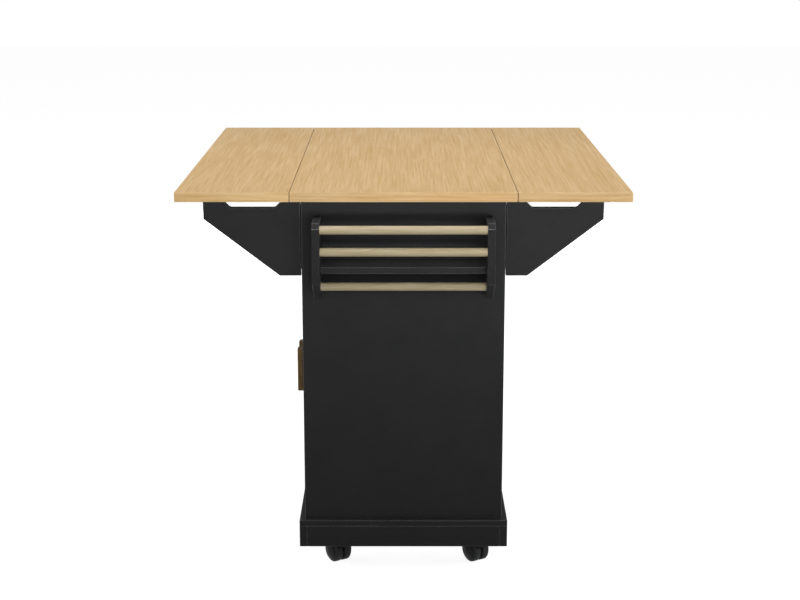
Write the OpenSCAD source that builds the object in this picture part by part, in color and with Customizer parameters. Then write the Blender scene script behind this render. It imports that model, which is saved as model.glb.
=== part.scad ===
// Rolling kitchen island with two drop leaves, a cupboard, drawers and a rack.
// X runs across it, -Y is the end with the rack, and Z runs up from the floor.
// The origin is on the floor under the middle of the overall box.

/* [Worktop] */
// Height of the worktop's upper face above the floor
top_height = 916; // [860:1:960]
// Length of the worktop and of both leaves
top_len = 1046; // [960:2:1400]
// Width of the fixed middle of the worktop
top_mid_w = 512; // [500:1:540]
// Width of each leaf
leaf_w = 257.5; // [240:0.5:300]
// Open seam between the middle and each leaf
seam_gap = 1.5; // [1.2:0.1:3]
// Thickness of the middle and of the leaves
top_t = 22; // [18:1:32]
// Overhang of the worktop beyond each end panel
top_over_end = 25; // [15:1:60]
// Overhang of the fixed middle beyond each side of the body
top_over_side = 23.5; // [20:0.5:40]
// Chamfer along the edges of the middle and of the leaves
top_ease = 0.6; // [0.3:0.1:1.5]

/* [Body] */
// Thickness of every panel of the body
panel_t = 18; // [15:1:22]
// Height of the fixed apron under the worktop on the door side
apron_h = 255; // [245:1:300]
// Clear width of the bay that holds the drawers
drawer_bay_w = 277.5; // [220:0.5:340]
// Gap all round an inset door or drawer front
front_gap = 3; // [2.6:0.1:5]
// Chamfer along the edges of boards
ease = 1; // [0.4:0.1:2]

/* [Cupboard shelf] */
// Height of the shelf above the cupboard floor
shelf_rise = 253; // [120:1:400]
// Distance of the shelf's front edge behind the doors
shelf_back = 8; // [2:1:60]
// Diameter of a shelf pin
shelf_pin_d = 5; // [4:0.5:8]
// Depth of a shelf pin in the wall, and its reach under the shelf
shelf_pin_in = 9; // [6:0.5:12]
// Distance from the side panel to the nearer shelf pins
shelf_pin_at = 45; // [30:1:90]
// Distance from a door's free edge to its magnetic catch
catch_in = 22; // [10:1:60]

/* [Handles] */
// Length of a handle
handle_len = 112; // [90:1:140]
// Reach of a handle from the face that it is on
handle_out = 34.6; // [28:0.1:45]
// Width of a handle
handle_w = 17; // [12:0.5:24]
// Thickness of a handle's grip
handle_bar = 12; // [9:0.5:15]
// Length of each foot of a handle
handle_foot = 15; // [10:0.5:22]
// Radius of the outer corners at a handle's ends
handle_nose_r = 3; // [1:0.5:5]
// Radius of the corners of the gap behind a handle's grip
handle_gap_r = 7; // [3:0.5:9]
// Chamfer along a handle's outer edges
handle_ease = 1.5; // [0.5:0.1:2.5]
// Distance from a door's free edge to the middle of its handle
handle_in = 31; // [18:1:60]
// Height of the middle of the door handles above the floor
door_handle_z = 399.5; // [300:0.5:480]

/* [Drawers] */
// Free depth behind a drawer's box
drawer_behind = 29; // [10:1:80]
// Height of a drawer's sides
drawer_side_h = 120; // [90:1:135]
// Thickness of a drawer's sides and back
drawer_side_t = 12; // [10:0.5:16]
// Thickness of a drawer's bottom
drawer_bottom_t = 6; // [4:0.5:9]
// Height of the bottom's underside above the lower edge of the sides
bottom_rise = 8; // [5:0.5:14]
// Height of the box's lower edge above the foot of its front
box_rise = 14; // [8:1:20]
// Free space between a drawer's side and the wall beside it
drawer_side_gap = 6; // [4:0.5:10]
// Height of a wooden runner
runner_h = 9.4; // [8:0.1:14]
// Depth of the groove that runs on it
groove_d = 5; // [3:0.1:7]

/* [Plinth] */
// Overhang of the plinth beyond the body all round
plinth_over = 13; // [8:0.5:40]
// Thickness of the plinth's board
plinth_board_t = 14; // [12:1:22]
// Height of the skirt under it
skirt_h = 52; // [44:1:80]
// Thickness of the skirt
skirt_t = 18; // [15:1:22]
// Height of the skirt's lower edge above the floor
ground_clear = 61; // [50:0.5:64]

/* [Wings] */
// Reach of a wing from the side of the body
wing_reach = 221.5; // [200:0.5:232]
// Height of a wing at the body
wing_h = 176; // [150:1:220]
// Height of a wing's outer edge
wing_edge_h = 44; // [30:1:70]
// Width of a wing's lower edge, from the side of the body
wing_foot = 50; // [36:1:90]
// Thickness of a wing
wing_t = 16; // [12:0.5:16]
// Distance of a wing's front face behind the end panel's face
wing_set = 2; // [0:0.5:6]
// Distance from the side of the body to the floor of the notch
notch_in = 59; // [54:1:66]
// Length of the notch's floor
notch_len = 102; // [96:1:104]
// Depth of the notch that clears the leaf's hinge
notch_d = 18; // [14:0.5:24]
// Radius of the notch's lower corners
notch_r = 9; // [4:0.5:12]
// Gap between a wing and the side of the body
wing_gap = 1.5; // [1:0.1:3]
// Length by which the notch's floor is longer than the leaf's hinge
notch_room = 26; // [22:1:32]

/* [Rack] */
// Depth of the rack from the end panel
rack_depth = 100; // [90:1:140]
// Distance from each side of the body to the rack's cheek
rack_in = 29; // [5:1:60]
// Thickness of a cheek
cheek_t = 17.5; // [15:0.5:22]
// Distance from the worktop's underside to the top of the cheeks
rack_drop = 36; // [20:1:80]
// Height of a cheek
cheek_h = 185; // [175:1:220]
// Cut of the cheek's upper front corner
cheek_nose = 11; // [6:0.5:16]
// Depth of the cheek's lower edge
cheek_foot = 30; // [20:1:45]
// Height of the slanted cut below the cheek's front edge
cheek_slant = 48; // [30:1:60]
// Diameter of the rails and of the towel bar
rail_d = 19; // [16:0.5:22]
// Distance from the cheek's front edge to the middle of a rail
rail_set = 12.5; // [11.5:0.5:18]
// Distances from the top of a cheek down to the middles of the rails
rail_drops = [15, 65];
// Distance from the cheek's front edge to the middle of the towel bar
towel_set = 43; // [38:1:48]
// Distance from the top of a cheek down to the middle of the towel bar
towel_drop = 151; // [146:1:160]
// Distance from the top of a cheek down to the shelf's upper face
rack_shelf_drop = 103.5; // [90:0.5:110]
// Thickness of the rack's shelf
rack_shelf_t = 15; // [12:1:20]
// Distance of the shelf's front edge behind the cheeks' front edge
rack_shelf_set = 30; // [24:1:45]
// Depth of the sockets for the rails and the towel bar
rail_socket = 8; // [5:0.5:12]

/* [Casters] */
// Radius of a caster's wheels
wheel_r = 30; // [28:0.5:31]
// Height from the floor to the top of a caster's plate
caster_h = 75; // [74:0.5:80]
// Width over a pair of wheels
caster_w = 60; // [54:0.5:64]
// Height of the dome on a wheel's outer face
wheel_dome = 12; // [8:0.5:14]
// Distance from the swivel axis to the axle
caster_trail = 17; // [12:0.5:20]
// Angle to which all the casters are turned
caster_yaw = 30; // [-45:1:45]
// Distance from the plinth's side to a swivel axis
caster_in_x = 80; // [74:0.5:110]
// Distance from the plinth's end to a swivel axis
caster_in_y = 78.5; // [74:0.5:120]
// Width of the thin wall between the two wheels of a pair
caster_web = 4.4; // [3.6:0.2:8]
// Radius of a wheel's axle
axle_r = 4; // [3:0.25:5]
// Depth of an axle's end in the outer face of a wheel
axle_in = 1.2; // [0.4:0.1:2]
// Gap between a wheel and the thin wall beside it
wheel_play = 0.5; // [0.4:0.1:1]
// Inner radius of the ring groove in a wheel's outer face
wheel_ring_r = 23.4; // [14:0.2:25]
// Width of that ring groove
wheel_ring_w = 1; // [0.6:0.1:2]
// Depth of that ring groove
wheel_ring_d = 1.5; // [0.5:0.1:2]
// Gap between a wheel's tread and the hood over it
hood_play = 1.2; // [0.8:0.1:2]
// Thickness of a hood's wall
hood_t = 3; // [2:0.1:4]
// Height of a hood's lower edge above the axle
hood_cut = 12; // [6:0.5:16]
// Overhang of a hood beyond the rims of its wheels
hood_over = 1; // [0.5:0.1:2]
// Radius of the race under a caster's plate
race_r = 14; // [12:0.5:18]
// Height of that race
race_h = 3.6; // [3:0.1:4]
// Radius of a caster's kingpin
kingpin_r = 5; // [4:0.25:6]
// Edge of a caster's square plate
caster_plate_w = 60; // [50:1:70]
// Thickness of a caster's plate
caster_plate_t = 3; // [2:0.5:4]

/* [Hinges] */
// Radius of the leaf hinges' knuckles
leaf_knuckle_r = 4; // [3.2:0.1:5]
// Radius of the knuckles of the wing hinges
wing_knuckle_r = 3; // [2.6:0.1:3.4]
// Radius of the pins in the leaf and wing hinges
pin_r = 1.5; // [1.2:0.05:1.8]
// Thickness of the leaf hinges' plates
leaf_plate_t = 2; // [1.6:0.1:2.6]
// Width of the plates on the leaves
leaf_plate_w = 32; // [24:1:40]
// Gap between the plates under the middle and the side of the body
leaf_plate_clear = 5; // [3:0.5:8]
// Thickness of the wing hinges' plates
wing_plate_t = 1.5; // [1.2:0.1:2]
// Thickness of the plates of the doors' pivot hinges
pivot_plate_t = 1.1; // [0.9:0.05:1.2]
// Width of the wing hinges' plates
wing_plate_w = 26; // [20:1:34]
// Length of the plates of the doors' pivot hinges
pivot_plate_len = 42; // [30:1:70]
// Radius of a door's pivot pins
pivot_r = 2.5; // [2:0.1:3.5]
// Depth of a pivot pin in the door
pivot_in = 12; // [8:0.5:20]
// Distance from a door's face to the middle of its pivots
pivot_face = 5; // [4.5:0.1:5.5]
// Distance from a door's edge to the middle of its pivots
pivot_edge = 6; // [5.5:0.1:7]

/* [Clearances] */
// Radial clearance of a pin, axle or kingpin that turns
run_play = 0.05; // [0.03:0.01:0.1]
// Radial clearance of an axle in the wheels that are pressed on it
press_play = 0.02; // [0.01:0.01:0.05]
// Clearance between pieces that slide or turn past each other
slide_play = 0.3; // [0.2:0.05:0.5]
// Radial clearance of a rail in its socket
socket_play = 0.1; // [0.05:0.05:0.3]

/* [Hidden] */
$fn = 64;
BLACK = "#2b2b2b";
OAK = "#d1b386";
DOWEL = "#bfb39a";
HANDLE_WOOD = "#8a6f50";
BIRCH = "#cbb083";
STEEL = "#a9abad";
PLASTIC = "#1c1c1e";

rack_out = rack_depth - top_over_end;
overall_len = top_len + rack_out;
top_y = -overall_len / 2 + rack_out;
body_len = top_len - 2 * top_over_end;
body_y = top_y + top_over_end;
mid_y = body_y + body_len / 2;
body_w = top_mid_w - 2 * top_over_side;
side_x = body_w / 2;
inner_x = side_x - panel_t;
inner_y = body_y + panel_t;
inner_len = body_len - 2 * panel_t;

under_top = top_height - top_t;
plinth_under = ground_clear + skirt_h;
floor_z = plinth_under + plinth_board_t;
apron_z = under_top - apron_h;
plinth_w = body_w + 2 * plinth_over;
plinth_len = body_len + 2 * plinth_over;
plinth_y = body_y - plinth_over;

front_h = apron_z - floor_z - 2 * front_gap;
door_bay_len = inner_len - panel_t - drawer_bay_w;
door_w = (door_bay_len - 3 * front_gap) / 2;
divider_y = inner_y + door_bay_len;
drawer_bay_y = divider_y + panel_t;
drawer_pitch = (front_h + front_gap) / 3;
drawer_front_h = drawer_pitch - front_gap;
drawer_box_w = drawer_bay_w - 2 * drawer_side_gap;
drawer_len = 2 * inner_x - drawer_behind;
runner_t = drawer_side_gap + groove_d - slide_play;
runner_end = 4;

seam_x = top_mid_w / 2 + seam_gap / 2;
leaf_axis_drop = leaf_knuckle_r + 0.5;
leaf_axis_z = under_top - leaf_axis_drop;
leaf_hinge_len = notch_len - notch_room;
wing_axis_out = wing_knuckle_r + 0.5;
wing_y = body_y + wing_set;
wing_axis_y = wing_y + wing_t + wing_axis_out;
wing_top = under_top - slide_play;
wing_hinge_end = 12;
wing_hinge_h = wing_h - 2 * wing_hinge_end;
leaf_hinge_y = wing_axis_y + notch_in + notch_len / 2 - wing_axis_out;

rack_y = body_y - rack_depth;
rack_top = under_top - rack_drop;
rack_w = body_w - 2 * rack_in;
rack_in_w = rack_w - 2 * cheek_t;

hinge_play = 0.4;
cut = 1;

// Shared shapes

// Puts a piece made for the front left corner at any corner, by its side and end
module corner(side, end) {
    translate([0, end > 0 ? 2 * mid_y : 0, 0])
        mirror([0, end > 0 ? 1 : 0, 0])
            mirror([side > 0 ? 1 : 0, 0, 0])
                children();
}

// Rectangle with its corners cut off
module eased_rect(a, b, e) {
    polygon([
        [e, 0], [a - e, 0], [a, e], [a, b - e],
        [a - e, b], [e, b], [0, b - e], [0, e]
    ]);
}

// Board with all its edges chamfered
module board(x, y, z, e = ease) {
    intersection() {
        linear_extrude(z) eased_rect(x, y, e);
        translate([0, y, 0]) rotate([90, 0, 0]) linear_extrude(y) eased_rect(x, z, e);
        rotate([90, 0, 90]) linear_extrude(x) eased_rect(y, z, e);
    }
}

// Plate of a convex outline, with the edges of both faces chamfered
module eased_plate(t) {
    hull() {
        translate([0, 0, ease]) linear_extrude(t - 2 * ease) children();
        linear_extrude(t) offset(delta = -ease) children();
    }
}

// Cylinder along X, centred on the origin
module rod_x(r, len) {
    rotate([0, 90, 0]) cylinder(r = r, h = len, center = true);
}

// One half of a hinge that turns about Z, with its plate along +X.
// The half that starts with knuckle 0 holds the pin, and the other half turns on it.
module hinge_half(h, knuckles, first, r, plate_at, plate_t, plate_w) {
    pitch = h / knuckles;
    difference() {
        union() {
            for (i = [first : 2 : knuckles - 1])
                translate([0, 0, i * pitch + hinge_play / 2])
                    cylinder(r = r, h = pitch - hinge_play);
            difference() {
                translate([0, plate_at, 0]) cube([plate_w, plate_t, h]);
                for (i = [1 - first : 2 : knuckles - 1])
                    translate([-cut, plate_at - cut, i * pitch - hinge_play / 2])
                        cube([r + slide_play + cut, plate_t + 2 * cut, pitch + hinge_play]);
            }
        }
        translate([0, 0, -cut])
            cylinder(r = pin_r + (first == 0 ? 0 : run_play), h = h + 2 * cut);
    }
    if (first == 0) cylinder(r = pin_r, h = h);
}

// Handle that stands out along -X from the face at x = 0, its length along Z
module handle() {
    gap_in = handle_out - handle_bar;
    gap_half = handle_len / 2 - handle_foot;
    nose_half = handle_len / 2 - handle_nose_r;
    color(HANDLE_WOOD)
    translate([0, handle_w / 2, 0]) rotate([90, 0, 0])
    difference() {
        linear_extrude(handle_w) difference() {
            union() {
                translate([-handle_out + handle_nose_r, -handle_len / 2])
                    square([handle_out - handle_nose_r, handle_len]);
                translate([-handle_out, -nose_half])
                    square([handle_nose_r + cut, 2 * nose_half]);
                for (s = [-1, 1])
                    translate([-handle_out + handle_nose_r, s * nose_half])
                        circle(r = handle_nose_r);
            }
            translate([-gap_in + handle_gap_r, -gap_half])
                square([gap_in - handle_gap_r + cut, 2 * gap_half]);
            translate([-gap_in, -gap_half + handle_gap_r])
                square([handle_gap_r + cut, 2 * (gap_half - handle_gap_r)]);
            for (s = [-1, 1])
                translate([-gap_in + handle_gap_r, s * (gap_half - handle_gap_r)])
                    circle(r = handle_gap_r);
        }
        for (z = [0, handle_w])
            translate([-handle_out, 0, z])
                rotate([0, 45, 0])
                    cube([sqrt(2) * handle_ease, handle_len + 2 * cut, sqrt(2) * handle_ease], center = true);
    }
}

// Plinth

module plinth_board() {
    color(BLACK)
    translate([-plinth_w / 2, plinth_y, plinth_under])
        board(plinth_w, plinth_len, plinth_board_t);
}

module side_skirt(side) {
    color(BLACK)
    translate([side > 0 ? plinth_w / 2 - skirt_t : -plinth_w / 2, plinth_y, ground_clear])
        board(skirt_t, plinth_len, skirt_h);
}

module end_skirt(end) {
    color(BLACK)
    translate([-plinth_w / 2 + skirt_t, 0, ground_clear])
        translate([0, end > 0 ? plinth_y + plinth_len - skirt_t : plinth_y, 0])
            board(plinth_w - 2 * skirt_t, skirt_t, skirt_h);
}

// Casters

// Puts a piece at one swivel axis, turned to the yaw that all of them share
module at_caster(side, end) {
    translate([
        side * (plinth_w / 2 - caster_in_x),
        mid_y + end * (plinth_len / 2 - caster_in_y),
        0
    ])
        children();
}

module caster_blocks() {
    block_w = caster_plate_w + 20;
    color(BIRCH)
    for (side = [-1, 1], end = [-1, 1])
        at_caster(side, end)
            translate([-block_w / 2, -block_w / 2, caster_h])
                board(block_w, block_w, plinth_under - caster_h);
}

hood_room_r = wheel_r + hood_play;
hood_r = hood_room_r + hood_t;
hood_w = caster_w - 2 * wheel_dome + 2 * hood_over;
race_z = caster_h - caster_plate_t - race_h;
neck_r = race_r - 2;
hub_r = axle_r + 5;

module caster_plates() {
    screw_r = 2.5;
    screw_at = caster_plate_w / 2 - 8;
    color(STEEL)
    for (side = [-1, 1], end = [-1, 1])
        at_caster(side, end)
            difference() {
                union() {
                    translate([-caster_plate_w / 2, -caster_plate_w / 2, caster_h - caster_plate_t])
                        cube([caster_plate_w, caster_plate_w, caster_plate_t]);
                    translate([0, 0, race_z])
                        cylinder(r = race_r, h = race_h + caster_plate_t / 2);
                }
                translate([0, 0, race_z - cut])
                    cylinder(r = kingpin_r + run_play, h = caster_h - race_z + 2 * cut);
                for (x = [-1, 1], y = [-1, 1])
                    translate([x * screw_at, y * screw_at, 0])
                        cylinder(r = screw_r, h = caster_h + cut);
            }
}

module caster_hood(side, end) {
    color(PLASTIC)
    at_caster(side, end) rotate([0, 0, caster_yaw]) {
        difference() {
            union() {
                translate([0, -caster_trail, wheel_r]) intersection() {
                    rod_x(hood_r, hood_w);
                    translate([-hood_w, -hood_r - cut, hood_cut])
                        cube([2 * hood_w, 2 * hood_r + 2 * cut, hood_r]);
                }
                translate([0, 0, wheel_r])
                    cylinder(r = neck_r, h = race_z - hinge_play - wheel_r);
            }
            translate([0, -caster_trail, wheel_r])
                for (s = [-1, 1])
                    translate([s * (caster_web / 2 + caster_w / 2 + cut), 0, 0])
                        rod_x(hood_room_r, caster_w + 2 * cut);
            translate([0, -caster_trail, wheel_r]) rod_x(axle_r + run_play, caster_w);
        }
        difference() {
            union() {
                translate([0, -caster_trail, wheel_r]) rod_x(hub_r, caster_web);
                translate([-caster_web / 2, -caster_trail - hub_r, wheel_r])
                    cube([caster_web, 2 * hub_r, hood_cut + cut]);
            }
            translate([0, -caster_trail, wheel_r]) rod_x(axle_r + run_play, caster_w);
        }
        translate([0, 0, race_z - 2 * hinge_play])
            cylinder(r = kingpin_r, h = caster_h - race_z);
    }
}

// Outline of one wheel, as distance from the axle and place along it: the bore, the
// tread with its inner shoulder, and the domed outer face with its ring groove
module wheel_outline() {
    bore = axle_r + press_play;
    inner = caster_web / 2 + wheel_play;
    outer = caster_w / 2;
    shoulder = 1.5;
    dome_r = (wheel_r * wheel_r + wheel_dome * wheel_dome) / (2 * wheel_dome);
    ring_face = outer - dome_r + sqrt(dome_r * dome_r - wheel_ring_r * wheel_ring_r);
    difference() {
        intersection() {
            polygon([
                [bore, inner], [wheel_r - shoulder, inner], [wheel_r, inner + shoulder],
                [wheel_r, outer], [bore, outer]
            ]);
            translate([0, outer - dome_r]) circle(r = dome_r, $fn = 256);
        }
        translate([wheel_ring_r, ring_face - wheel_ring_d]) square([wheel_ring_w, wheel_dome]);
    }
}

module caster_wheels(side, end) {
    color(PLASTIC)
    at_caster(side, end)
        rotate([0, 0, caster_yaw])
            translate([0, -caster_trail, wheel_r])
                rotate([0, 90, 0]) {
                    rotate_extrude() wheel_outline();
                    rotate_extrude() mirror([0, 1]) wheel_outline();
                    cylinder(r = axle_r, h = caster_w - 2 * axle_in, center = true);
                }
}

// Body

// Places of the shelf pins, each with the direction in which it stands out of its wall
shelf_z = floor_z + shelf_rise;
pin_rows = [-inner_x + shelf_pin_at, inner_x - shelf_pin_at];

module pin_holes() {
    for (x = pin_rows, wall = [[inner_y, -1], [divider_y, 1]])
        translate([x, wall[0] + wall[1] * shelf_pin_in / 2, shelf_z - shelf_pin_d / 2 - socket_play])
            rotate([90, 0, 0])
                cylinder(r = shelf_pin_d / 2 + socket_play, h = shelf_pin_in + slide_play, center = true);
}

module end_panel(end) {
    color(BLACK)
    difference() {
        translate([-side_x, end > 0 ? body_y + body_len - panel_t : body_y, floor_z])
            board(body_w, panel_t, under_top - floor_z);
        if (end < 0) pin_holes();
    }
}

module side_panel() {
    color(BLACK)
    translate([inner_x, inner_y, floor_z])
        board(panel_t, inner_len, under_top - floor_z);
}

module apron() {
    color(BLACK)
    translate([-side_x, inner_y, apron_z])
        board(panel_t, inner_len, apron_h);
}

module divider() {
    color(BLACK)
    difference() {
        translate([0, divider_y + panel_t, 0]) rotate([90, 0, 0]) linear_extrude(panel_t)
            polygon([
                [-side_x, floor_z], [inner_x, floor_z], [inner_x, under_top],
                [-inner_x, under_top], [-inner_x, apron_z], [-side_x, apron_z]
            ]);
        pin_holes();
    }
}

module cupboard_shelf() {
    color(BLACK)
    translate([-inner_x + shelf_back, inner_y + slide_play, shelf_z])
        board(2 * inner_x - shelf_back, door_bay_len - 2 * slide_play, panel_t);
}

module shelf_pins() {
    color(STEEL)
    for (x = pin_rows, wall = [[inner_y, -1], [divider_y, 1]])
        translate([x, wall[0], shelf_z - shelf_pin_d / 2 - socket_play])
            rotate([90, 0, 0])
                cylinder(r = shelf_pin_d / 2, h = 2 * shelf_pin_in, center = true);
}

// Magnetic catches on the back of the apron, one behind the free corner of each door
module door_catches() {
    catch_w = 36;
    catch_t = 14;
    catch_h = 20;
    above = 2;
    tongue = 15;
    meeting_y = inner_y + front_gap * 1.5 + door_w;
    color(STEEL)
    for (s = [-1, 1])
        translate([-inner_x, meeting_y + s * (catch_w / 2 + catch_in) - catch_w / 2, 0]) {
            translate([0, 0, apron_z + above]) cube([catch_t, catch_w, catch_h]);
            translate([slide_play, 0, apron_z - front_gap - tongue])
                cube([catch_t - slide_play, catch_w, tongue + front_gap + 2 * above]);
        }
}

// Doors

// Puts a piece at the pivot axis of the front door, or of the rear door in its mirror image
module at_door_axis(rear) {
    axis_y = front_gap + pivot_edge;
    translate([-side_x + pivot_face, rear ? divider_y - axis_y : inner_y + axis_y, 0])
        mirror([0, rear ? 1 : 0, 0])
            children();
}

door_low = floor_z + front_gap;
door_high = apron_z - front_gap;

module door(rear) {
    color(BLACK)
    difference() {
        translate([
            -side_x,
            inner_y + front_gap + (rear ? door_w + front_gap : 0),
            door_low
        ])
            board(panel_t, door_w, front_h);
        at_door_axis(rear)
            for (z = [door_low, door_high])
                translate([0, 0, z])
                    cylinder(r = pivot_r + run_play, h = 2 * (pivot_in + slide_play), center = true);
    }
}

module door_handle(rear) {
    free_edge = inner_y + front_gap + door_w + (rear ? front_gap : 0);
    translate([-side_x, free_edge + (rear ? handle_in : -handle_in), door_handle_z])
        handle();
}

// Plate of a pivot hinge, with its lower face at z = 0, that starts before the axis
module pivot_plate(before) {
    translate([-pivot_face + ease, -before, 0])
        cube([panel_t - 2 * ease, pivot_plate_len, pivot_plate_t]);
}

module door_hinge_plates() {
    color(STEEL)
    for (rear = [false, true])
        at_door_axis(rear) {
            translate([0, 0, floor_z]) {
                pivot_plate(front_gap + pivot_edge);
                cylinder(r = pivot_r, h = front_gap + pivot_in);
            }
            translate([0, 0, apron_z - pivot_plate_t]) {
                pivot_plate(front_gap + pivot_edge);
                translate([0, 0, pivot_plate_t - front_gap - pivot_in])
                    cylinder(r = pivot_r, h = front_gap + pivot_in);
            }
        }
}

module door_hinges(rear) {
    color(STEEL)
    at_door_axis(rear)
        for (z = [door_low - pivot_plate_t, door_high])
            translate([0, 0, z])
                difference() {
                    pivot_plate(pivot_edge - ease);
                    translate([0, 0, -cut])
                        cylinder(r = pivot_r + run_play, h = pivot_plate_t + 2 * cut);
                }
}

// Drawers

// Index of a drawer, counted up from the bottom, gives the foot of its front
function drawer_z(i) = floor_z + front_gap + i * drawer_pitch;

runner_rise = drawer_side_h / 2;

module drawer_runners() {
    color(BIRCH)
    for (i = [0 : 2], wall = [0, 1])
        translate([
            -inner_x + runner_end,
            wall == 0 ? drawer_bay_y : drawer_bay_y + drawer_bay_w - runner_t,
            drawer_z(i) + box_rise + runner_rise
        ])
            cube([drawer_len - runner_end, runner_t, runner_h]);
}

module drawer_box(i) {
    inner_w = drawer_box_w - 2 * drawer_side_t;
    groove_h = runner_h + 2 * slide_play;
    color(BIRCH)
    translate([-inner_x, drawer_bay_y + drawer_side_gap, drawer_z(i) + box_rise])
        difference() {
            cube([drawer_len, drawer_box_w, drawer_side_h]);
            translate([drawer_side_t, drawer_side_t, bottom_rise + drawer_bottom_t])
                cube([drawer_len - 2 * drawer_side_t, inner_w, drawer_side_h]);
            translate([drawer_side_t, drawer_side_t, -cut])
                cube([drawer_len - 2 * drawer_side_t, inner_w, bottom_rise + cut]);
            for (y = [-cut, drawer_box_w - groove_d])
                translate([runner_end / 2, y, runner_rise - slide_play])
                    cube([drawer_len, groove_d + cut, groove_h]);
        }
}

module drawer_front(i) {
    color(BLACK)
    translate([-side_x, drawer_bay_y + front_gap, drawer_z(i)])
        board(panel_t, drawer_bay_w - 2 * front_gap, drawer_front_h);
}

module drawer_handle(i) {
    translate([-side_x, drawer_bay_y + drawer_bay_w / 2, drawer_z(i) + drawer_front_h / 2])
        rotate([90, 0, 0])
            handle();
}

// Worktop and leaves

module worktop() {
    color(OAK)
    translate([-top_mid_w / 2, top_y, under_top])
        board(top_mid_w, top_len, top_t, top_ease);
}

module leaf(side) {
    color(OAK)
    translate([
        side > 0 ? top_mid_w / 2 + seam_gap : -top_mid_w / 2 - seam_gap - leaf_w,
        top_y, under_top
    ])
        board(leaf_w, top_len, top_t, top_ease);
}

// Puts the three hinges along the seam on one side, each made for the left side
module at_leaf_hinges(side) {
    for (y = [leaf_hinge_y, mid_y, 2 * mid_y - leaf_hinge_y])
        mirror([side > 0 ? 1 : 0, 0, 0])
            translate([-seam_x, y - leaf_hinge_len / 2, leaf_axis_z])
                rotate([-90, 0, 0])
                    children();
}

leaf_fixed_w = seam_x - side_x - leaf_plate_clear;

module leaf_hinge_plates() {
    color(STEEL)
    for (side = [-1, 1])
        at_leaf_hinges(side)
            hinge_half(
                leaf_hinge_len, 5, 0, leaf_knuckle_r,
                -leaf_axis_drop, leaf_plate_t, leaf_fixed_w
            );
}

module leaf_hinges(side) {
    color(STEEL)
    at_leaf_hinges(side)
        mirror([1, 0, 0])
            hinge_half(
                leaf_hinge_len, 5, 1, leaf_knuckle_r,
                -leaf_axis_drop, leaf_plate_t, leaf_plate_w
            );
}

// Wings

// Outline of the notch, with ends at 45 degrees that run into its floor in an arc
module notch() {
    floor_at = wing_top - notch_d;
    arc_start = notch_r * tan(22.5);
    arc_end = arc_start * sin(45);
    rise = notch_d + cut;
    polygon([
        [-notch_in - arc_start, floor_at],
        [-notch_in - notch_len + arc_start, floor_at],
        [-notch_in - notch_len - arc_end, floor_at + arc_end],
        [-notch_in - notch_len - rise, floor_at + rise],
        [-notch_in + rise, floor_at + rise],
        [-notch_in + arc_end, floor_at + arc_end]
    ]);
    for (x = [-notch_in - arc_start, -notch_in - notch_len + arc_start])
        intersection() {
            translate([x, floor_at + notch_r]) circle(r = notch_r);
            translate([-notch_in - notch_len - notch_d, floor_at])
                square([notch_len + 2 * notch_d, arc_end]);
        }
}

module wing(side, end) {
    low = wing_top - wing_h;
    color(BLACK)
    corner(side, end)
        translate([-side_x, wing_y + wing_t, 0])
            rotate([90, 0, 0])
                difference() {
                    eased_plate(wing_t)
                        polygon([
                            [-wing_gap, low], [-wing_foot, low],
                            [-wing_reach, wing_top - wing_edge_h],
                            [-wing_reach, wing_top], [-wing_gap, wing_top]
                        ]);
                    translate([0, 0, -cut])
                        linear_extrude(wing_t + 2 * cut) notch();
                }
}

module at_wing_hinge(side, end) {
    corner(side, end)
        translate([-side_x - wing_axis_out, wing_axis_y, wing_top - wing_hinge_end - wing_hinge_h])
            children();
}

module wing_hinge_plates() {
    color(STEEL)
    for (side = [-1, 1], end = [-1, 1])
        at_wing_hinge(side, end)
            rotate([0, 0, 90])
                hinge_half(
                    wing_hinge_h, 5, 0, wing_knuckle_r,
                    -wing_axis_out, wing_plate_t, wing_plate_w
                );
}

module wing_hinge(side, end) {
    color(STEEL)
    at_wing_hinge(side, end)
        rotate([0, 0, 180])
            hinge_half(
                wing_hinge_h, 5, 1, wing_knuckle_r,
                wing_axis_out - wing_plate_t, wing_plate_t, wing_plate_w
            );
}

// Rack

// Puts a rod at a distance behind the cheeks' front edge and below their top
module at_rod(set, drop) {
    translate([0, rack_y + set, rack_top - drop])
        children();
}

module rack_cheek(side) {
    color(BLACK)
    difference() {
        translate([side > 0 ? rack_w / 2 - cheek_t : -rack_w / 2, rack_y, rack_top])
            rotate([90, 0, 90])
                eased_plate(cheek_t)
                    polygon([
                        [rack_depth, 0], [cheek_nose, 0], [0, -cheek_nose],
                        [0, cheek_slant - cheek_h], [rack_depth - cheek_foot, -cheek_h],
                        [rack_depth, -cheek_h]
                    ]);
        for (drop = rail_drops)
            at_rod(rail_set, drop)
                rod_x(rail_d / 2 + socket_play, rack_in_w + 2 * rail_socket);
        at_rod(towel_set, towel_drop)
            rod_x(rail_d / 2 + socket_play, rack_in_w + 2 * rail_socket);
    }
}

module rack_shelf() {
    color(BLACK)
    translate([-rack_in_w / 2, rack_y + rack_shelf_set, rack_top - rack_shelf_drop - rack_shelf_t])
        board(rack_in_w, rack_depth - rack_shelf_set, rack_shelf_t);
}

module rack_rails() {
    color(DOWEL)
    for (drop = rail_drops)
        at_rod(rail_set, drop)
            rod_x(rail_d / 2, rack_in_w + 2 * rail_socket - slide_play);
}

module towel_bar() {
    color(DOWEL)
    at_rod(towel_set, towel_drop)
        rod_x(rail_d / 2, rack_in_w + 2 * rail_socket - slide_play);
}

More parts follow.
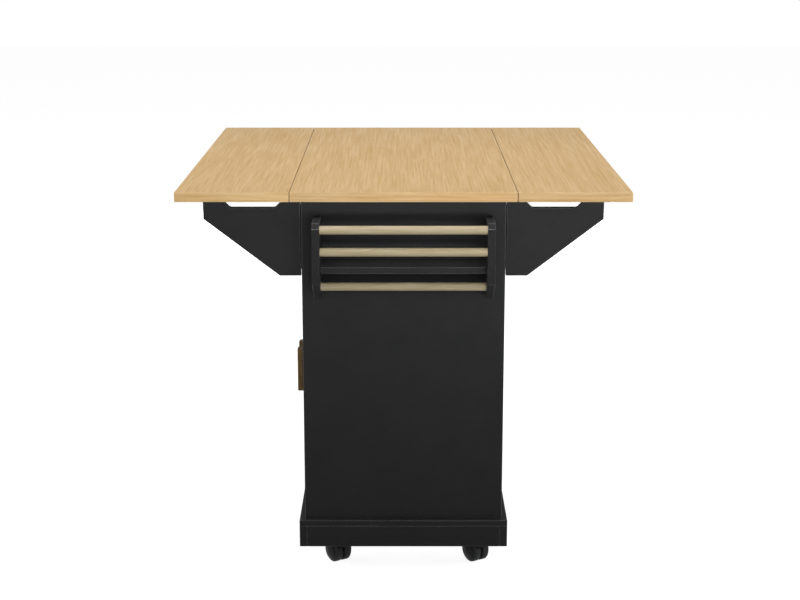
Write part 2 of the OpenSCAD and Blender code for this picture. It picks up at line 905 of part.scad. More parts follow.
plinth_board();
side_skirt(-1);  // side_skirt_left
side_skirt(1);  // side_skirt_right
end_skirt(-1);  // end_skirt_front
end_skirt(1);  // end_skirt_rear
caster_blocks();
caster_plates();
caster_hood(-1, -1);  // caster_hood_front_left
caster_hood(1, -1);  // caster_hood_front_right
caster_hood(-1, 1);  // caster_hood_rear_left
caster_hood(1, 1);  // caster_hood_rear_right
caster_wheels(-1, -1);  // caster_wheels_front_left
caster_wheels(1, -1);  // caster_wheels_front_right
caster_wheels(-1, 1);  // caster_wheels_rear_left
caster_wheels(1, 1);  // caster_wheels_rear_right
end_panel(-1);  // end_panel_front
end_panel(1);  // end_panel_rear
side_panel();
apron();
divider();
cupboard_shelf();
shelf_pins();
door_catches();
door(false);  // door_front
door(true);  // door_rear
door_handle(false);  // door_front_handle
door_handle(true);  // door_rear_handle
door_hinge_plates();
door_hinges(false);  // door_front_hinges
door_hinges(true);  // door_rear_hinges
drawer_runners();
drawer_box(2);  // drawer_top_box
drawer_box(1);  // drawer_middle_box
drawer_box(0);  // drawer_bottom_box
drawer_front(2);  // drawer_top_front
drawer_front(1);  // drawer_middle_front
drawer_front(0);  // drawer_bottom_front
drawer_handle(2);  // drawer_top_handle
drawer_handle(1);  // drawer_middle_handle
drawer_handle(0);  // drawer_bottom_handle
worktop();
leaf(-1);  // leaf_left
leaf(1);  // leaf_right
leaf_hinge_plates();
leaf_hinges(-1);  // leaf_left_hinges
leaf_hinges(1);  // leaf_right_hinges
wing(-1, -1);  // wing_front_left
wing(1, -1);  // wing_front_right
wing(-1, 1);  // wing_rear_left
wing(1, 1);  // wing_rear_right
wing_hinge_plates();
wing_hinge(-1, -1);  // wing_hinge_front_left
wing_hinge(1, -1);  // wing_hinge_front_right
wing_hinge(-1, 1);  // wing_hinge_rear_left
wing_hinge(1, 1);  // wing_hinge_rear_right
rack_cheek(-1);  // rack_cheek_left
rack_cheek(1);  // rack_cheek_right
rack_shelf();
rack_rails();
towel_bar();
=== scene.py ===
# %% [markdown]
# # A rolling kitchen island, dressed for its portrait
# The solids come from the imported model, already in metres and in their places. This lesson gives them
# their finishes, adds the small parts that a joiner would screw on last, and lights and frames the
# whole. Lengths below are in metres unless a name says mm.

# %% Load the frame
import math

import bmesh
import bpy
from mathutils import Matrix, Vector


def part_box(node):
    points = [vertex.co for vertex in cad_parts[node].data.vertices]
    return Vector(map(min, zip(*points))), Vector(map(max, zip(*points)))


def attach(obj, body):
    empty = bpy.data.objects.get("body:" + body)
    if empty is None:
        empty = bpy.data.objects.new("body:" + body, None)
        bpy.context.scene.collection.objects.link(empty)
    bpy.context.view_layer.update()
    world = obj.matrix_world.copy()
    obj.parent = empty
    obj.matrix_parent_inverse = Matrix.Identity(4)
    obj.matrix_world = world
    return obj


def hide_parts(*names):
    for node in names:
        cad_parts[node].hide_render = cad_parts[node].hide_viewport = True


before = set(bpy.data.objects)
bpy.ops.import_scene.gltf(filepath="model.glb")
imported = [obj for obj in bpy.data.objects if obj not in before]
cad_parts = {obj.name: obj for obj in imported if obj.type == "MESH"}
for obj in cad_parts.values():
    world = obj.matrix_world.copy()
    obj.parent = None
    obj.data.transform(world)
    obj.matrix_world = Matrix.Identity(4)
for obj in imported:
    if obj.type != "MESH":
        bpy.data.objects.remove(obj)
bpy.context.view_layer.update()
scene = bpy.context.scene

# %% [markdown]
# ## Helpers for materials
# Screens store colours with a curve, and the renderer wants them without it, so one function turns a
# hex value into a linear colour. Shader trees are wordy, so a second one adds a node, sets it and links
# it in one call. Sanding eases every arris by a millimetre or two, which the solids leave out, so a
# third one rounds the shading normal there and says where an arris is. A noise texture counts its
# features by the metre, so a fourth takes their size in millimetres. Everything else about a material
# stays visible where the material is made.

# %% Colour and node helpers
def paint(hex_code):
    """Turns an sRGB hex value into a linear colour."""
    parts = [int(hex_code[i:i + 2], 16) / 255 for i in (1, 3, 5)]
    return (*[c / 12.92 if c <= 0.04045 else ((c + 0.055) / 1.055) ** 2.4 for c in parts], 1.0)


def add(tree, kind, inputs=None, **settings):
    """Adds a shader node, sets or links its inputs by name or number, and returns it."""
    node = tree.nodes.new("ShaderNode" + kind)
    for key, value in settings.items():
        setattr(node, key, value)
    for key, value in (inputs or {}).items():
        if isinstance(value, bpy.types.NodeSocket):
            tree.links.new(value, node.inputs[key])
        else:
            node.inputs[key].default_value = value
    return node


def new_material(name):
    material = bpy.data.materials.new(name)
    material.use_nodes = True
    tree = material.node_tree
    tree.nodes.clear()
    return material, tree


def per_metre(size_mm):
    return 1000.0 / size_mm


def eased_edge(tree, radius):
    """Gives a normal that rounds the arrises, and a mask that is 1 on them and 0 on the flats."""
    eased = add(tree, "Bevel", {"Radius": radius}, samples=6).outputs[0]
    flat = add(tree, "NewGeometry").outputs["True Normal"]
    agree = add(tree, "VectorMath", {0: eased, 1: flat}, operation="DOT_PRODUCT").outputs["Value"]
    return eased, add(tree, "MapRange", {"Value": agree, "From Min": 0.99, "From Max": 0.92}).outputs[0]


print("mid grey #808080 is", [round(c, 3) for c in paint("#808080")[:3]])

# %% [markdown]
# ## Wood with a long grain
# All the wood here is cut along the grain, so one recipe serves it. A noise pattern is squeezed across
# the grain and stretched along it, which turns round blobs into streaks. Three sizes are laid over each
# other: broad soft bands where the board was cut through its growth rings, long narrow streaks of
# denser wood, and fine dark pores. The pores and streaks also shape the surface by hundredths of a
# millimetre, so that the lacquer glints unevenly. Real pores are about 0.3 mm wide, which is finer than
# a pixel here, so they are drawn wider.
# The end edges of the worktop carry their grain sideways, as edge bands do. The object-space normal
# tells such a face apart, and there the pattern is turned by a quarter and takes the band's tones.
# On the arrises a paler tone is painted in, as a highlight where the rounded edge catches the light.

# %% The wood recipe
# The arris rounding is real; its paler tone and its share are a painted highlight.
arris_r, arris_highlight_tone, arris_highlight_share = 0.0012, "#f3dfba", 0.7
band_stretch, streak_stretch, pore_stretch = 9, 52, 48
band_share, streak_share, pore_share = 0.46, 0.78, 0.34


def wood(name, base, deep, pore, along="Y", band_mm=34.0, streak_mm=4.2, pore_mm=1.6,
         shift=(0, 0, 0), contrast=1.0, rough=0.46, gloss=0.1, ends=None):
    material, tree = new_material(name)
    turn = {"X": (0, 0, math.pi / 2), "Y": (0, 0, 0), "Z": (-math.pi / 2, 0, 0)}[along]
    coords = add(tree, "TexCoord")
    place = add(tree, "Mapping", {"Vector": coords.outputs["Object"], "Location": shift,
                                  "Rotation": turn}).outputs[0]
    base, deep = paint(base), paint(deep)
    if ends:
        side = add(tree, "Mapping", {"Vector": coords.outputs["Object"], "Location": shift,
                                     "Rotation": (0, 0, math.pi / 2)}).outputs[0]
        facing = add(tree, "SeparateXYZ", {"Vector": coords.outputs["Normal"]}).outputs["Y"]
        size = add(tree, "Math", {0: facing}, operation="ABSOLUTE").outputs[0]
        is_end = add(tree, "Math", {0: size, 1: 0.8}, operation="GREATER_THAN").outputs[0]
        place = add(tree, "Mix", {0: is_end, 4: place, 5: side}, data_type="VECTOR").outputs[1]
        base = add(tree, "Mix", {0: is_end, 6: base, 7: paint(ends[0])}, data_type="RGBA").outputs[2]
        deep = add(tree, "Mix", {0: is_end, 6: deep, 7: paint(ends[1])}, data_type="RGBA").outputs[2]

    def layer(width_mm, stretch, detail, distortion=0.0):
        long = add(tree, "Mapping", {"Vector": place, "Scale": (1, 1 / stretch, 1)}).outputs[0]
        return add(tree, "TexNoise", {"Vector": long, "Scale": per_metre(width_mm), "Detail": detail,
                                      "Roughness": 0.6, "Distortion": distortion}).outputs["Fac"]

    bands = layer(band_mm, band_stretch, 2, 0.6)
    streaks = layer(streak_mm, streak_stretch, 3, 0.3)
    pores = layer(pore_mm, pore_stretch, 1)
    colour, levels = base, []
    for pattern, low, high, share, tone in ((bands, 0.35, 0.68, band_share, deep),
                                            (streaks, 0.42, 0.72, streak_share, deep),
                                            (pores, 0.58, 0.74, pore_share, paint(pore))):
        level = add(tree, "MapRange", {"Value": pattern, "From Min": low, "From Max": high}).outputs[0]
        part = add(tree, "Math", {0: level, 1: share * contrast}, operation="MULTIPLY").outputs[0]
        colour = add(tree, "Mix", {0: part, 6: colour, 7: tone}, data_type="RGBA").outputs[2]
        levels.append(level)
    eased, arris = eased_edge(tree, arris_r)
    # A paler tone is painted on the arrises as a highlight, where a rounded edge would catch the light.
    painted_highlight_mask = add(tree, "Math", {0: arris, 1: arris_highlight_share}, operation="MULTIPLY").outputs[0]
    colour = add(tree, "Mix", {0: painted_highlight_mask, 6: colour, 7: paint(arris_highlight_tone)}, data_type="RGBA").outputs[2]
    sheen = add(tree, "MapRange", {"Value": streaks, "From Min": 0.3, "From Max": 0.7,
                                   "To Min": rough - 0.05, "To Max": rough + 0.07}).outputs[0]
    relief = add(tree, "Math", {0: levels[1], 1: levels[2]}, operation="ADD").outputs[0]
    bump = add(tree, "Bump", {"Height": relief, "Strength": 0.35, "Distance": 0.00012, "Normal": eased},
               invert=True)
    shader = add(tree, "BsdfPrincipled", {"Base Color": colour, "Roughness": sheen, "IOR": 1.5,
                                          "Specular IOR Level": gloss, "Normal": bump.outputs[0]})
    add(tree, "OutputMaterial", {"Surface": shader.outputs[0]})
    return material


print("wood recipe ready")

# %% [markdown]
# ## The worktop's oak
# Light oak veneer under a matt lacquer: honey coloured, with fine streaks along the island. The three
# boards are cut from different sheets, so each one shifts the pattern. Their edge bands are a paler
# veneer, and each board's band is made a little lighter or darker to even out how the lamps light the
# three edges, which is painted light and shade.

# %% Oak on the three boards
def dress(nodes, material):
    for name in nodes:
        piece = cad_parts[name]
        piece.data.materials.clear()
        piece.data.materials.append(material)


# The band tones differ between boards as painted light and shade: the left leaf's edge, which the lamps
# reach least, is lightest, and the right leaf's is darkest.
for board, shift, bands in (("worktop", (0.0, 0.0, 0.0), ("#e6c390", "#c69a5c")),
                            ("leaf_left", (0.31, 0.17, 0.05), ("#f4d19b", "#d2a563")),
                            ("leaf_right", (0.83, -0.29, 0.11), ("#e1c08f", "#c2975b"))):
    dress([board], wood("light_oak_veneer_" + board, "#d5b37d", "#bd9352", "#a47a42", shift=shift,
                        contrast=0.87, ends=bands))
print("oak on three boards")

# %% [markdown]
# ## Dowels, handles and drawer wood
# The rails are turned ramin-like dowels, paler and greyer than the top, with a plain grain along their
# length. The handles are a browner walnut-stained wood. The drawer boxes, runners and caster blocks are
# unfinished birch, which has almost no pores.

# %% The other woods
dowel = wood("turned_pale_dowel_matt", "#beb193", "#a1906c", "#857357", along="X", band_mm=14,
             streak_mm=2.4, pore_mm=1.2, contrast=0.8, rough=0.52, gloss=0.2)
dress(["rack_rails", "towel_bar"], dowel)
for way, names in (("Z", ["door_front_handle", "door_rear_handle"]),
                   ("Y", ["drawer_top_handle", "drawer_middle_handle", "drawer_bottom_handle"])):
    dress(names, wood("brown_stained_handle_wood_" + way, "#b39468", "#8b6c45", "#5f4528", along=way,
                      band_mm=12, streak_mm=2.6, pore_mm=1.2, rough=0.42))
birch = wood("plain_birch_sanded", "#d8c39a", "#c4a877", "#b0925f", along="X", band_mm=40, streak_mm=5,
             pore_mm=1.4, contrast=0.6, rough=0.6)
dress(["drawer_top_box", "drawer_middle_box", "drawer_bottom_box", "drawer_runners", "caster_blocks"],
      birch)
print("woods:", [m.name for m in bpy.data.materials if m.users])

# %% [markdown]
# ## Black lacquer on board
# The body is board with a sprayed black lacquer, nearly matt. Spraying leaves a very fine pebble, and
# handling and drying leave soft patches that are a little shinier or duller. Both are too faint to read
# as a pattern: they only keep the large faces from looking like plastic film. Black paint reflects
# about one hundredth of the light, and its gloss shows more than its colour, so the specular level
# matters. The arrises are sanded round before the coat, so they are shinier, and a painted highlight
# greys them, strongest where they face up towards the overhead lamp. The cheeks of the rack get a
# darker copy of the lacquer as painted shade, and the brightest painted highlight on the level arrises
# of their noses.

# %% Black lacquer
edge_r = 0.0018


def lacquer_coat(name, low, high, highlight_grey, aside_highlight_share):
    """Paints a highlight of the given grey on the level arrises that face up, and a share of it on the
    rest.
    """
    material, tree = new_material(name)
    coords = add(tree, "TexCoord").outputs["Object"]
    pebble = add(tree, "TexNoise", {"Vector": coords, "Scale": per_metre(1.1), "Detail": 2})
    patches = add(tree, "TexNoise", {"Vector": coords, "Scale": per_metre(90), "Detail": 4,
                                     "Roughness": 0.6}).outputs["Fac"]
    tone = add(tree, "MapRange", {"Value": patches, "From Min": 0.3, "From Max": 0.7}).outputs[0]
    colour = add(tree, "Mix", {0: tone, 6: paint(low), 7: paint(high)}, data_type="RGBA").outputs[2]
    dull = add(tree, "MapRange", {"Value": patches, "From Min": 0.3, "From Max": 0.7, "To Min": 0.5,
                                  "To Max": 0.6}).outputs[0]
    eased, arris = eased_edge(tree, edge_r)
    ways = add(tree, "SeparateXYZ", {"Vector": eased}).outputs
    aside = add(tree, "Math", {0: ways["X"]}, operation="ABSOLUTE").outputs[0]
    painted_highlight_mask = arris
    # The painted highlight grows as the rounded normal turns up towards the overhead lamp, and fades as
    # it turns to either side.
    for way, low_end, high_end, first, last in ((ways["Z"], 0.1, 0.4, aside_highlight_share, 1.0),
                                                (aside, 0.1, 0.3, 1.0, aside_highlight_share)):
        share = add(tree, "MapRange", {"Value": way, "From Min": low_end, "From Max": high_end,
                                       "To Min": first, "To Max": last}).outputs[0]
        painted_highlight_mask = add(tree, "Math", {0: painted_highlight_mask, 1: share}, operation="MULTIPLY").outputs[0]
    colour = add(tree, "Mix", {0: painted_highlight_mask, 6: colour, 7: paint(highlight_grey)}, data_type="RGBA").outputs[2]
    rough = add(tree, "MapRange", {"Value": arris, "To Min": dull, "To Max": 0.3}).outputs[0]
    bump = add(tree, "Bump", {"Height": pebble.outputs["Fac"], "Strength": 0.25, "Distance": 0.0001,
                              "Normal": eased}).outputs[0]
    shader = add(tree, "BsdfPrincipled", {"Base Color": colour, "Roughness": rough, "IOR": 1.5,
                                          "Specular IOR Level": 0.07, "Normal": bump})
    add(tree, "OutputMaterial", {"Surface": shader.outputs[0]})
    return material


# Both coats paint a grey highlight on their arrises. The rack's coat is a darker copy as painted shade,
# and its painted highlight is brightest on the noses that face up.
lacquer = lacquer_coat("sprayed_black_lacquer_matt", "#2a2a2b", "#303031", "#767677", 1.0)
rack_coat = lacquer_coat("sprayed_black_lacquer_of_the_rack", "#242425", "#2a2a2b", "#c4c4c5", 0.15)
black_nodes = [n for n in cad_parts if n.startswith(("plinth", "side_", "end_", "wing_"))
               and "hinge" not in n]
black_nodes += ["rack_shelf", "apron", "divider", "cupboard_shelf", "door_front", "door_rear",
                "drawer_top_front", "drawer_middle_front", "drawer_bottom_front"]
dress(black_nodes, lacquer)
dress(["rack_cheek_left", "rack_cheek_right"], rack_coat)
print("lacquer on", len(black_nodes) + 2, "boards")

# %% [markdown]
# ## Zinc-plated steel
# Hinges, plates, pins and catches are pressed steel with a thin zinc coat. It is a metal, so its colour
# is its reflection. Rolling leaves fine lines in one direction, and the coat clouds in patches.

# %% Zinc
zinc, tree = new_material("zinc_plated_steel_rolled")
coords = add(tree, "TexCoord").outputs["Object"]
long = add(tree, "Mapping", {"Vector": coords, "Scale": (1, 0.05, 1)}).outputs[0]
lines = add(tree, "TexNoise", {"Vector": long, "Scale": per_metre(0.8), "Detail": 2}).outputs["Fac"]
clouds = add(tree, "TexNoise", {"Vector": coords, "Scale": per_metre(12), "Detail": 3}).outputs["Fac"]
colour = add(tree, "Mix", {0: clouds, 6: paint("#8f9295"), 7: paint("#a5a7a9")}, data_type="RGBA")
rough = add(tree, "MapRange", {"Value": lines, "From Min": 0.3, "From Max": 0.7, "To Min": 0.3,
                               "To Max": 0.46})
shader = add(tree, "BsdfPrincipled", {"Base Color": colour.outputs[2], "Roughness": rough.outputs[0],
                                      "Metallic": 1.0})
add(tree, "OutputMaterial", {"Surface": shader.outputs[0]})
steel_nodes = [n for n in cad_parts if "hinge" in n]
steel_nodes += ["caster_plates", "shelf_pins", "door_catches"]
dress(steel_nodes, zinc)
print("zinc on", len(steel_nodes), "nodes")

# %% [markdown]
# ## Moulded plastics of the casters
# The hoods and the wheel discs are injection-moulded black nylon with a fine spark-eroded texture. The
# treads are a softer grey polyurethane, duller than the nylon.

# %% Nylon and polyurethane
def moulded(name, colour_low, colour_high, rough_low, rough_high, grain_mm):
    material, tree = new_material(name)
    coords = add(tree, "TexCoord").outputs["Object"]
    grain = add(tree, "TexNoise", {"Vector": coords, "Scale": per_metre(grain_mm), "Detail": 1})
    scuff = add(tree, "TexNoise", {"Vector": coords, "Scale": per_metre(9), "Detail": 4})
    level = add(tree, "MapRange", {"Value": scuff.outputs["Fac"], "From Min": 0.35, "From Max": 0.7})
    tone = add(tree, "Mix", {0: level.outputs[0], 6: paint(colour_low), 7: paint(colour_high)},
               data_type="RGBA")
    rough = add(tree, "MapRange", {"Value": level.outputs[0], "To Min": rough_low,
                                   "To Max": rough_high})
    bump = add(tree, "Bump", {"Height": grain.outputs["Fac"], "Strength": 0.3, "Distance": 0.00008})
    shader = add(tree, "BsdfPrincipled", {"Base Color": tone.outputs[2], "Roughness": rough.outputs[0],
                                          "IOR": 1.53, "Specular IOR Level": 0.12,
                                          "Normal": bump.outputs[0]})
    add(tree, "OutputMaterial", {"Surface": shader.outputs[0]})
    return material


nylon = moulded("moulded_black_nylon", "#121213", "#1a1a1b", 0.42, 0.54, 0.7)
tread = moulded("grey_polyurethane_tread", "#333435", "#3d3e3f", 0.55, 0.7, 1.4)
dress([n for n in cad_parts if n.startswith("caster_hood")], nylon)
print("plastics:", nylon.name, tread.name)

# %% [markdown]
# ## Making a piece
# A new piece is built in a bmesh, written to a mesh, and joined to the body that it moves with. Its
# object stays at the origin, so that its place is in its mesh, as with the solids.

# %% Piece helper
def finish_piece(name, bm, body, material):
    """Makes the object of a finished bmesh, shaded smooth up to an angle of 35 degrees."""
    mesh = bpy.data.meshes.new(name)
    bm.to_mesh(mesh)
    bm.free()
    mesh.shade_smooth()
    mesh.set_sharp_from_angle(angle=math.radians(35))
    piece = bpy.data.objects.new(name, mesh)
    scene.collection.objects.link(piece)
    mesh.materials.append(material)
    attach(piece, body)
    return piece


def spin_ring(bm, profile, steps):
    """Turns a closed profile of (radius, place along X) pairs into a ring about the X axis."""
    points = [bm.verts.new((along, radius, 0)) for radius, along in profile]
    edges = [bm.edges.new((a, b)) for a, b in zip(points, points[1:] + points[:1])]
    bmesh.ops.spin(bm, geom=points + edges, cent=(0, 0, 0), axis=(1, 0, 0), angle=math.tau, steps=steps,
                   use_merge=True)
    bmesh.ops.remove_doubles(bm, verts=bm.verts, dist=1e-6)
    bmesh.ops.recalc_face_normals(bm, faces=bm.faces)


print("piece helper ready")

# %% [markdown]
# ## Twin-wheel casters
# Each caster has two wheels on one axle. The solid gives plain ones; a real one is a dished nylon disc
# with a softer tread moulded round it, so each pair is built again from two rings: the disc, with its
# ring groove and its hub cap, which covers the end of the axle and has a small gate mark in its middle,
# and the tread, whose shoulder is rounded and whose face follows the dome.
# Both are profiles turned about the axle. Each ring is mirrored for the other wheel, and then turned
# and carried to its caster, whose place is read from the solid that it stands for.

# %% Wheel profiles, from the solid's own sizes
wheel_r, half_w, web_gap, dome = 0.02999, 0.030, 0.0027, 0.012
axle_r, axle_ease, cap_t = 0.004, 0.0008, 0.0024
dome_r = (wheel_r ** 2 + dome ** 2) / (2 * dome)


def dome_at(radius):
    """How far out the wheel's domed face lies at a radius, measured from the middle of the pair."""
    return half_w - dome_r + math.sqrt(dome_r ** 2 - radius ** 2)


seat = 0.0262
# First the back of the disc, and then its face, as radius and depth under the dome, from the rim
# inwards: ring groove, web, hub groove, cap and gate mark.
disc_profile = [(0.0041, web_gap), (seat, web_gap), (seat, dome_at(seat) - 0.0004)]
disc_profile += [(r, dome_at(r) - deep) for r, deep in (
    (0.0253, 0.0001), (0.0244, 0.0001), (0.0242, 0.0014), (0.0236, 0.0014), (0.0234, 0.0001),
    (0.0220, 0.0001), (0.0200, 0.0001), (0.0175, 0.0001), (0.0150, 0.0001), (0.0125, 0.0001),
    (0.0098, 0.0001), (0.0092, 0.0009), (0.0078, 0.0009), (0.0074, 0.0002), (0.0004, 0.0002),
    (0.0004, 0.0022), (0.0041, 0.0022))]
tread_profile = [(seat, web_gap + 0.0004), (0.0284, web_gap + 0.0004), (0.0294, web_gap + 0.0008),
                 (wheel_r, web_gap + 0.0018), (wheel_r, dome_at(wheel_r) - 0.0020),
                 (0.0297, dome_at(wheel_r) - 0.0007), (0.0290, dome_at(0.0290) - 0.0004),
                 (0.0282, dome_at(0.0282) - 0.0001), (seat, dome_at(seat) - 0.0001)]
print("dome radius mm", round(dome_r * 1000, 1))

# %% Build the four pairs
wheel_yaw = math.radians(30)
for end in ("front", "rear"):
    for side in ("left", "right"):
        solid = f"caster_wheels_{end}_{side}"
        low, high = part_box(solid)
        middle = (low + high) / 2
        place = Matrix.Translation(middle) @ Matrix.Rotation(wheel_yaw, 4, "Z")
        for kind, profile, material in (("discs", disc_profile, nylon),
                                        ("treads", tread_profile, tread)):
            bm = bmesh.new()
            spin_ring(bm, profile, 48)
            bmesh.ops.mirror(bm, geom=bm.verts[:] + bm.edges[:] + bm.faces[:], merge_dist=-1,
                             axis="X")
            bmesh.ops.recalc_face_normals(bm, faces=bm.faces)
            bmesh.ops.transform(bm, matrix=place, verts=bm.verts)
            piece = finish_piece(f"caster_{kind}_{end}_{side}", bm, f"wheels_{end}_{side}",
                                 material)
            if kind == "discs":
                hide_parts(solid)
        bm = bmesh.new()
        bmesh.ops.create_cone(bm, cap_ends=True, segments=24, radius1=axle_r, radius2=axle_r,
                              depth=2 * (half_w - cap_t))
        rim = [e for e in bm.edges if e.calc_face_angle() > math.radians(45)]
        bmesh.ops.bevel(bm, geom=rim, offset=axle_ease, offset_type="OFFSET", affect="EDGES",
                        segments=2, profile=0.5, material=-1)
        bmesh.ops.transform(bm, matrix=place @ Matrix.Rotation(math.pi / 2, 4, "Y"), verts=bm.verts)
        finish_piece(f"caster_axle_{end}_{side}", bm, f"wheels_{end}_{side}", zinc)

# %% [markdown]
# ## Screws
# The hinge plates, caster plates and handles are held by pan-head screws. Their cross recess is smaller
# than a pixel here, so it is drawn as a dimple. One head is modelled once, as a turned dome with that
# dimple in its middle, and copied to every hole. A screw moves with the piece that it holds.

# %% One screw head
def screw_mesh(radius, height):
    """A head that points up Z, with its rim a little under the face that it sits on."""
    bm = bmesh.new()
    profile = [(0.0, height * 0.35), (radius * 0.28, height * 0.4), (radius * 0.42, height * 0.98),
               (radius * 0.75, height * 0.8), (radius, height * 0.3), (radius, -height * 0.2)]
    points = [bm.verts.new((r, 0, z)) for r, z in profile]
    edges = [bm.edges.new(pair) for pair in zip(points, points[1:])]
    bmesh.ops.spin(bm, geom=points + edges, cent=(0, 0, 0), axis=(0, 0, 1), angle=math.tau, steps=12,
                   use_merge=True)
    bmesh.ops.remove_doubles(bm, verts=bm.verts, dist=1e-6)
    bmesh.ops.holes_fill(bm, edges=bm.edges, sides=24)
    bmesh.ops.recalc_face_normals(bm, faces=bm.faces)
    mesh = bpy.data.meshes.new("screw_head")
    bm.to_mesh(mesh)
    bm.free()
    return mesh


def screws(name, body, places, facing, radius=0.0035, height=0.0018):
    """Copies one head to every place and makes them one piece."""
    head = screw_mesh(radius, height)
    turn = Vector(facing).to_track_quat("Z", "Y").to_matrix().to_4x4()
    bm = bmesh.new()
    for place in places:
        start = len(bm.verts)
        bm.from_mesh(head)
        bm.verts.ensure_lookup_table()
        bmesh.ops.transform(bm, matrix=Matrix.Translation(place) @ turn, verts=bm.verts[start:])
    finish_piece(name, bm, body, zinc)


print("screw faces:", len(screw_mesh(0.0035, 0.0018).polygons))

# %% [markdown]
# The leaf hinges lie flat under the boards, three to a seam, so their screws point up and show from
# below. The wing hinges stand upright, one plate on the body and one on the back of the wing.

# %% Screws of the leaf hinges
leaf_plate_t, seam_x, screw_pitch = 0.002, 0.25675, 0.026
seam_to_fixed, seam_to_moving = 0.0125, 0.0200
plate_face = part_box("worktop")[0].z - leaf_plate_t
hinge_ys = (-0.3325, 0.0375, 0.4075)
for side, sign in (("left", -1), ("right", 1)):
    fixed = [(sign * (seam_x - seam_to_fixed), y + dy, plate_face)
             for y in hinge_ys for dy in (-screw_pitch, screw_pitch)]
    moving = [(sign * (seam_x + seam_to_moving), y + dy, plate_face)
              for y in hinge_ys for dy in (-screw_pitch, 0, screw_pitch)]
    screws(f"screws_middle_{side}", "island", fixed, (0, 0, -1), radius=0.003)
    screws(f"screws_leaf_{side}", f"leaf_{side}", moving, (0, 0, -1))
print("leaf hinge screws at y", hinge_ys)

# %% Screws of the wing hinges
head_r, head_h, plate_t, plate_w, axis_out, from_axis = 0.003, 0.0011, 0.0015, 0.026, 0.0035, 0.015
for end, forward in (("front", 1), ("rear", -1)):
    for side, outward in (("left", -1), ("right", 1)):
        low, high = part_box(f"wing_hinge_{end}_{side}")
        axis_x = (low.x + plate_w) if side == "left" else (high.x - plate_w)
        axis_y = (low.y + axis_out) if end == "front" else (high.y - axis_out)
        heights = [low.z + part * (high.z - low.z) for part in (0.1, 0.37, 0.63, 0.9)]
        on_wing = [(axis_x + outward * from_axis, axis_y - forward * (axis_out - plate_t), z)
                   for z in heights]
        on_body = [(axis_x - outward * (axis_out - plate_t), axis_y + forward * from_axis, z)
                   for z in heights]
        screws(f"screws_wing_{end}_{side}", f"wing_{end}_{side}", on_wing, (0, forward, 0),
               head_r, head_h)
        screws(f"screws_post_{end}_{side}", "island", on_body, (outward, 0, 0), head_r, head_h)
print("wing hinge axis mm", round(axis_x * 1000, 1), round(axis_y * 1000, 1))

# %% [markdown]
# Each handle is held by two screws that come from behind, through the door or the wall of the drawer's
# box, and each caster by four screws through the corners of its plate. Both kinds take their places
# from the boxes of the solids that they hold.

# %% Screws behind the handles
# Each handle's foot is 15 mm long, and its screw comes through the middle of it.
foot_half, box_wall_t, handle_head_r, handle_head_h = 0.0075, 0.012, 0.004, 0.002
for door in ("door_front", "door_rear"):
    low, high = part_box(door + "_handle")
    inner_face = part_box(door)[1].x
    places = [(inner_face, (low.y + high.y) / 2, z) for z in (low.z + foot_half, high.z - foot_half)]
    screws(f"screws_{door}_handle", door, places, (1, 0, 0), handle_head_r, handle_head_h)
for drawer in ("drawer_top", "drawer_middle", "drawer_bottom"):
    low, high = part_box(drawer + "_handle")
    inner_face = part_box(drawer + "_box")[0].x + box_wall_t
    places = [(inner_face, y, (low.z + high.z) / 2) for y in (low.y + foot_half, high.y - foot_half)]
    screws(f"screws_{drawer}_handle", drawer, places, (1, 0, 0), handle_head_r, handle_head_h)
print("handle screws: 2 on each of 5")

# %% Screws of the casters
low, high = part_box("caster_plates")
plate_half, screw_at, caster_plate_t = 0.030, 0.022, 0.003
plate_z = high.z - caster_plate_t
for end, y in (("front", low.y + plate_half), ("rear", high.y - plate_half)):
    places = [(x + dx, y + dy, plate_z) for x in (low.x + plate_half, high.x - plate_half)
              for dx in (-screw_at, screw_at) for dy in (-screw_at, screw_at)]
    screws(f"screws_casters_{end}", "island", places, (0, 0, -1))
print("caster plates span", [round(c, 4) for c in low], [round(c, 4) for c in high])

# %% [markdown]
# ## Floor and light
# The portrait stands on plain white. The floor is pale and keeps a soft shadow; where the camera or a
# reflection looks at it, a little glow lifts it to white, and the object itself gets no light from
# that. The shadows of the rails lie above the rails, so the main lamp stands in front and below them,
# and its beam is aimed up, so that it dies away towards the plinth. A thin weak one at the worktop's
# height brings up the top of the body, a wide one overhead lights the worktop, and the world fills the
# rest. The lamps for the other sides are kept out of reflections, as if behind polarising sheets.
# Floor and world both ask whether a ray comes from the camera or a reflection, or only brings light.

# %% Floor
def is_looked_at(tree):
    """Gives 1 where the camera, a reflection or a clear pane looks, and 0 where only light travels."""
    path = add(tree, "LightPath").outputs
    seen = path["Is Camera Ray"]
    for ray in ("Is Glossy Ray", "Is Transmission Ray"):
        seen = add(tree, "Math", {0: seen, 1: path[ray]}, operation="MAXIMUM").outputs[0]
    return seen


floor_half = 14
floor_bm = bmesh.new()
bmesh.ops.create_grid(floor_bm, x_segments=1, y_segments=1, size=floor_half)
floor_mesh = bpy.data.meshes.new("floor")
floor_bm.to_mesh(floor_mesh)
floor_bm.free()
floor = bpy.data.objects.new("floor", floor_mesh)
scene.collection.objects.link(floor)
floor_material, tree = new_material("white_sweep_paper")
pale = add(tree, "BsdfDiffuse", {"Color": paint("#5c5c5c")})
shown = add(tree, "BsdfDiffuse", {"Color": paint("#d0d0d0")})
glow = add(tree, "Emission", {"Color": paint("#ffffff"), "Strength": 0.9})
bright = add(tree, "AddShader", {0: shown.outputs[0], 1: glow.outputs[0]})
surface = add(tree, "MixShader", {0: is_looked_at(tree), 1: pale.outputs[0], 2: bright.outputs[0]})
add(tree, "OutputMaterial", {"Surface": surface.outputs[0]})
floor_mesh.materials.append(floor_material)
print("floor", floor.dimensions[:])

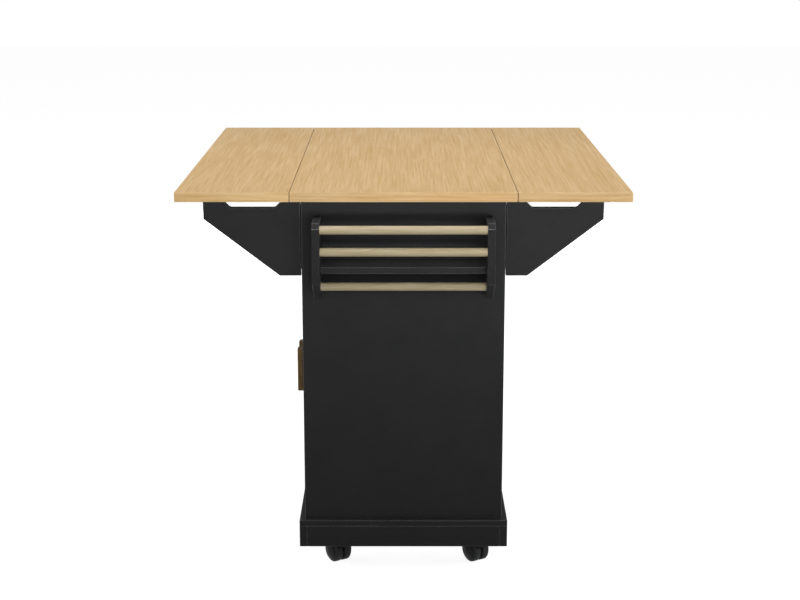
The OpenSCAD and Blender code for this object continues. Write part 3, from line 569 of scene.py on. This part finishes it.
# %% World
world = bpy.data.worlds.new("white_room")
scene.world = world
world.use_nodes = True
tree = world.node_tree
tree.nodes.clear()
world_fill = 0.13
level = add(tree, "MapRange", {"Value": is_looked_at(tree), "To Min": world_fill, "To Max": 1.0})
sky = add(tree, "Background", {"Color": paint("#ffffff"), "Strength": level.outputs[0]})
add(tree, "OutputWorld", {"Surface": sky.outputs[0]})
print("world fill", world_fill)

# %% Lamps
def lamp(name, place, aim, size, watts, spread=180, glare=True):
    """Adds an area lamp of a size in metres, with a spread in degrees, that looks at its aim."""
    data = bpy.data.lights.new(name, "AREA")
    data.shape, data.size, data.size_y, data.energy = "RECTANGLE", size[0], size[1], watts
    data.spread = math.radians(spread)
    light = bpy.data.objects.new(name, data)
    scene.collection.objects.link(light)
    light.location = place
    light.rotation_euler = (Vector(aim) - Vector(place)).to_track_quat("-Z", "Y").to_euler()
    light.visible_camera = False
    light.visible_glossy = glare


lamp("key", (0.90, -2.80, 0.56), (0.40, -0.46, 1.02), (2.4, 0.28), 5.6, 64)
lamp("edge", (0.10, -1.00, 0.90), (0.06, -0.46, 0.90), (1.8, 0.06), 1.0, 130)
lamp("overhead", (0.0, -0.45, 3.4), (0.0, -0.15, 0.9), (3.2, 2.2), 71)
lamp("door_side", (-3.4, 0.1, 0.55), (-0.2, 0.1, 0.45), (2.4, 0.6), 60, glare=False)
lamp("plain_side", (3.4, 0.1, 0.55), (0.2, 0.1, 0.45), (2.4, 0.6), 60, glare=False)
lamp("rear", (0.0, 4.0, 0.55), (0.0, 0.5, 0.45), (2.4, 0.6), 60, glare=False)

# %% [markdown]
# ## Camera
# The photograph was taken from straight in front of the rack end, a little above the worktop, and was
# cropped far from its middle. A small part of that offset is kept as lens shift, and the rest is a
# slight downward tilt from further away, so that the same camera also frames the other sides.

# %% Camera
camera_data = bpy.data.cameras.new("portrait")
camera = bpy.data.objects.new("portrait", camera_data)
scene.collection.objects.link(camera)
camera_data.sensor_width, camera_data.lens, camera_data.shift_y = 36.0, 68.03, -0.0625
camera.location = (-0.008, -3.818, 1.529)
tilt_down = 12.6
camera.rotation_euler = (math.radians(90 - tilt_down), 0, 0)
scene.camera = camera
scene.view_settings.view_transform = "Standard"
print("camera at", tuple(camera.location))
